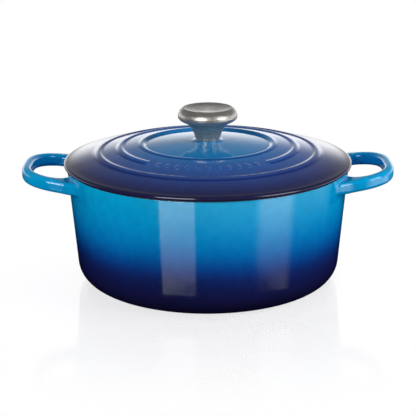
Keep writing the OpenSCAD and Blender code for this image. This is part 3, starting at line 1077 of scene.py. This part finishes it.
class Sky(Nodes):
    """The world: white for the camera, even light for diffuse rays, and a studio in the reflections.
    Azimuth is in degrees from the front and grows to the right, elevation from the horizon."""

    def __init__(self, ambient, bounce):
        world = bpy.data.worlds.new("studio")
        bpy.context.scene.world = world
        world.use_nodes = True
        world.cycles.sampling_method = "NONE"
        super().__init__(world.node_tree)
        way = self.node("ShaderNodeTexCoord").outputs["Generated"]
        x, y, z = self.node("ShaderNodeSeparateXYZ", {0: way}).outputs
        azimuth = self.math("ARCTAN2", x, self.math("MULTIPLY", y, -1.0))
        self.azimuth = self.math("MULTIPLY", azimuth, 180 / math.pi)
        self.elevation = self.math("MULTIPLY", self.math("ARCSINE", z), 180 / math.pi)
        self.aside = self.math("ABSOLUTE", self.azimuth)
        self.ambient, self.bounce = ambient, bounce
        self.total = 0.0

    def step(self, value, start, end):
        """0 before start, 1 after end, smooth between. It falls when end is below start."""
        ends = (0.0, 1.0) if start < end else (1.0, 0.0)
        return self.span(value, min(start, end), max(start, end), *ends, "SMOOTHSTEP")

    def window(self, value, low, high, soft):
        """1 between low and high, fading to 0 over soft on either side."""
        return self.math("MULTIPLY", self.step(value, low - soft, low + soft),
                         self.step(value, high + soft, high - soft))

    def profile(self, stops):
        """A curve over the elevation, from -90 to 90 degrees."""
        place = self.math("MULTIPLY_ADD", self.elevation, 1 / 180, 0.5)
        return self.ramp(place, [(at / 180 + 0.5, (value, value, value, 1)) for at, value in stops])

    def add(self, strength, *shares):
        """Adds light of a strength where all the shares are 1, and less where they are less."""
        for share in shares:
            strength = self.math("MULTIPLY", share, strength)
        self.total = self.math("ADD", strength, self.total)

    def finish(self):
        """Joins the three kinds of light by the kind of ray."""
        rays = self.node("ShaderNodeLightPath")
        even = self.math("MULTIPLY_ADD", self.step(self.elevation, 5, -25), self.bounce, self.ambient)
        first = self.node("ShaderNodeMix", {0: rays.outputs["Is Glossy Ray"], 2: even, 3: self.total})
        second = self.node("ShaderNodeMix", {0: rays.outputs["Is Camera Ray"], 2: first.outputs[0], 3: 1.0})
        back = self.tree.nodes["Background"]
        back.inputs["Color"].default_value = (1, 1, 1, 1)
        self.tree.links.new(second.outputs[0], back.inputs["Strength"])


def build_sky():
    """What the gloss shows: a white wall behind, two tall softboxes in front, and the table below them."""
    sky = Sky(0.07, 0.2)
    up = sky.elevation
    wall_light = sky.profile([(-15.5, 0.0), (-12, 0.25), (-8, 0.50), (-2, 0.85), (2.5, 1.0), (8, 0.78),
                              (13, 0.38), (17, 0.20), (24, 0.11), (34, 0.05), (46, 0.03)])
    sky.add(1.9, wall_light, sky.step(sky.aside, 84, 110))
    sky.add(0.02, sky.step(up, -15, 0))
    tall = sky.profile([(0, 1.0), (14, 0.9), (30, 0.35), (48, 0.10)])
    left, right = sky.window(sky.azimuth, -41, -11, 0.8), sky.window(sky.azimuth, 43, 74, 5)
    for strength, box in ((14.0, left), (9.0, right)):
        sky.add(strength, tall, sky.window(up, 0, 52, 1), box)
    # The table in front: it ends along a curve below the horizon, and dims towards the horizon.
    round_edge = sky.math("POWER", sky.math("ABSOLUTE", sky.math("ADD", sky.azimuth, -10.0)), 2.0)
    over = sky.math("SUBTRACT", sky.math("ADD", up, 28.1), sky.math("MULTIPLY", round_edge, 0.00057))
    on_table = sky.step(over, 0, 2.3)
    table = sky.math("MULTIPLY", on_table, sky.step(up, -18, -23))
    sky.add(0.6, table, sky.step(sky.azimuth, -80, -20), sky.step(sky.azimuth, 116, 106))
    # A pale band at the right, above the table's edge.
    sky.add(2.3, sky.step(up, -22.5, -18), sky.step(up, -4, -10), sky.window(sky.azimuth, 46, 112, 12))
    # The softboxes' images in the table.
    low = sky.profile([(-24, 1.0), (-19, 0.10), (-2, 0.06)])
    low_left, low_right = sky.window(up, -29.9, 0, 0.3), sky.window(up, -28.5, 0, 0.3)
    sky.add(1.5, low, low_left, left)
    sky.add(1.6, low, sky.step(up, -28, -26), low_left, left)
    sky.add(0.7, low, low_right, right)
    sky.add(1.8, low, on_table, low_right, right)
    sky.finish()


def build_floor_sky(floor):
    """A wide panel that only lights the floor, so that the pot's image in it is darker than the rest."""
    panel = build_light("light_floor", 0, 90, 3.0, 60, 60, 60 * 60 * math.pi)
    only = bpy.data.collections.new("lit_floor")
    only.objects.link(floor)
    panel.light_linking.receiver_collection = only
    panel.visible_glossy = True
    panel.visible_diffuse = False
    panel.data.use_shadow = False


build_floor_sky(build_floor())
build_sky()
build_light("light_left", -38, 18, 1.8, 0.9, 1.4, 25)
build_light("light_right", 71, 18, 1.8, 1.0, 1.4, 33)
build_light("light_top", 0, 80, 1.9, 1.6, 1.6, 6)
build_light("light_back", 180, 20, 2.0, 1.8, 1.2, 14)


# ---------------------------------------------------------------- camera
def build_camera():
    """The camera stands low in front and looks slightly down."""
    elevation, roll = math.radians(16.55), math.radians(0.238)
    aim = Vector((0, 0, 0.404 * cad_box[1].z))
    distance = 1.25
    camera = add_object("camera", bpy.data.cameras.new("camera"))
    back = Vector((0, -math.cos(elevation), math.sin(elevation)))
    camera.location = aim + back * distance
    turned_to = back.to_track_quat("Z", "Y")
    camera.rotation_mode = "QUATERNION"
    camera.rotation_quaternion = turned_to @ Quaternion((0, 0, 1), -roll)
    camera.data.lens = 113.1
    camera.data.sensor_width = 36
    bpy.context.scene.camera = camera


build_camera()
bpy.context.scene.view_settings.view_transform = "Standard"
